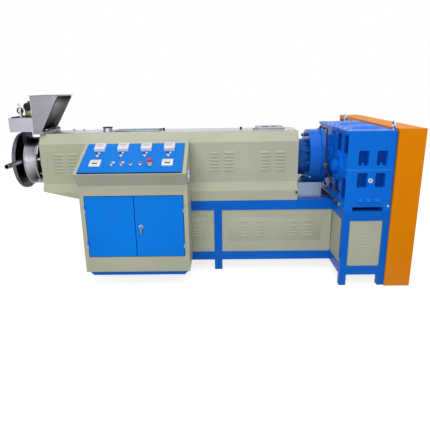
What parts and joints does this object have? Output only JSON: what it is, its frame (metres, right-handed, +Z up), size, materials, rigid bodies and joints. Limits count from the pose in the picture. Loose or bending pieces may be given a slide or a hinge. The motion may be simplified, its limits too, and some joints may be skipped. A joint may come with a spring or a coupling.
{
  "type": "plastic granulator",
  "caption": "Single-screw plastic granulating extruder on a welded base, with gearbox, belt guard, sheet hood, die drum, hopper and a control desk with a two-door cabinet.",
  "frame": {"origin": "on the floor, under the middle of the machine's outer box", "axes": "+X along the barrel from the die to the gearbox, +Y away from the control desk, +Z up"},
  "size_m": [3.458, 1.8252, 1.605],
  "materials": {
    "frame_blue": "gloss enamel",
    "cast_blue": "gloss enamel on cast iron",
    "beige_sheet": "satin enamel",
    "door_blue": "satin enamel",
    "guard_orange": "satin enamel",
    "bare_steel": "machined",
    "copper_pipe": "dulled copper",
    "galvanised": "stainless sheet",
    "zinc": "zinc plated",
    "motor_grey": "satin enamel",
    "pulley_iron": "machined rim",
    "belt_rubber": "matte",
    "white_plastic": "gloss",
    "black_plastic": "satin",
    "red_plastic": "gloss"
  },
  "bodies": {
    "machine": {"barrel": "bare_steel", "barrel_pedestal": "bare_steel", "base_cross_rails": "frame_blue", "base_deck": "frame_blue", "base_rails": "frame_blue", "bearing_cap": "cast_blue", "cabinet_back": "beige_sheet", "cabinet_bottom": "beige_sheet", "cabinet_bracket": "frame_blue", "cabinet_sides": "beige_sheet", "cabinet_sill_and_header": "beige_sheet", "cabinet_stiles": "beige_sheet", "desk_plate": "door_blue", "desk_sheet": "beige_sheet", "desk_switches": "black_plastic", "die_clamps": "bare_steel", "die_drum": "bare_steel", "drive_belt": "belt_rubber", "drive_motor": "motor_grey", "drive_pulleys": "pulley_iron", "drum_pipe": "bare_steel", "fan_guard": "zinc", "feed_throat": "bare_steel", "feeder_box": "galvanised", "feeder_bracket": "bare_steel", "feeder_gear_motor": "motor_grey", "frame_hinges": "zinc", "frame_panels": "beige_sheet", "frame_posts": "frame_blue", "gearbox_lower_case": "cast_blue", "gearbox_upper_case": "cast_blue", "guard_ends": "guard_orange", "guard_side": "guard_orange", "guard_top": "guard_orange", "hood_ends": "beige_sheet", "hood_knobs": "black_plastic", "hood_side_covers": "beige_sheet", "hood_top": "beige_sheet", "hood_underside": "beige_sheet", "hood_vent_and_plate": "bare_steel", "hopper": "galvanised", "lifting_eyes": "zinc", "motor_slide_rails": "motor_grey", "oil_gauge": "zinc", "oil_pipe": "copper_pipe", "panel_instruments": "white_plastic", "stand_rails": "frame_blue", "stop_button": "red_plastic", "thrust_housing": "cast_blue"},
    "left_door": {"door_left": "door_blue"},
    "right_door": {"door_right": "door_blue", "lock_plate": "zinc"},
    "lock": {"lock_handle": "zinc"}
  },
  "joints": [
    {"name": "left_door_swing", "type": "hinge", "parent": "machine", "child": "left_door", "pos_m": [-0.9935, -0.821, 0.544], "axis": [0, 0, -1], "range_deg": [0, 110]},
    {"name": "right_door_swing", "type": "hinge", "parent": "machine", "child": "right_door", "pos_m": [-0.1815, -0.821, 0.544], "axis": [0, 0, 1], "range_deg": [0, 110]},
    {"name": "lock_turn", "type": "hinge", "parent": "right_door", "child": "lock", "pos_m": [-0.5375, -0.83, 0.544], "axis": [0, -1, 0], "range_deg": [0, 90]}
  ]
}
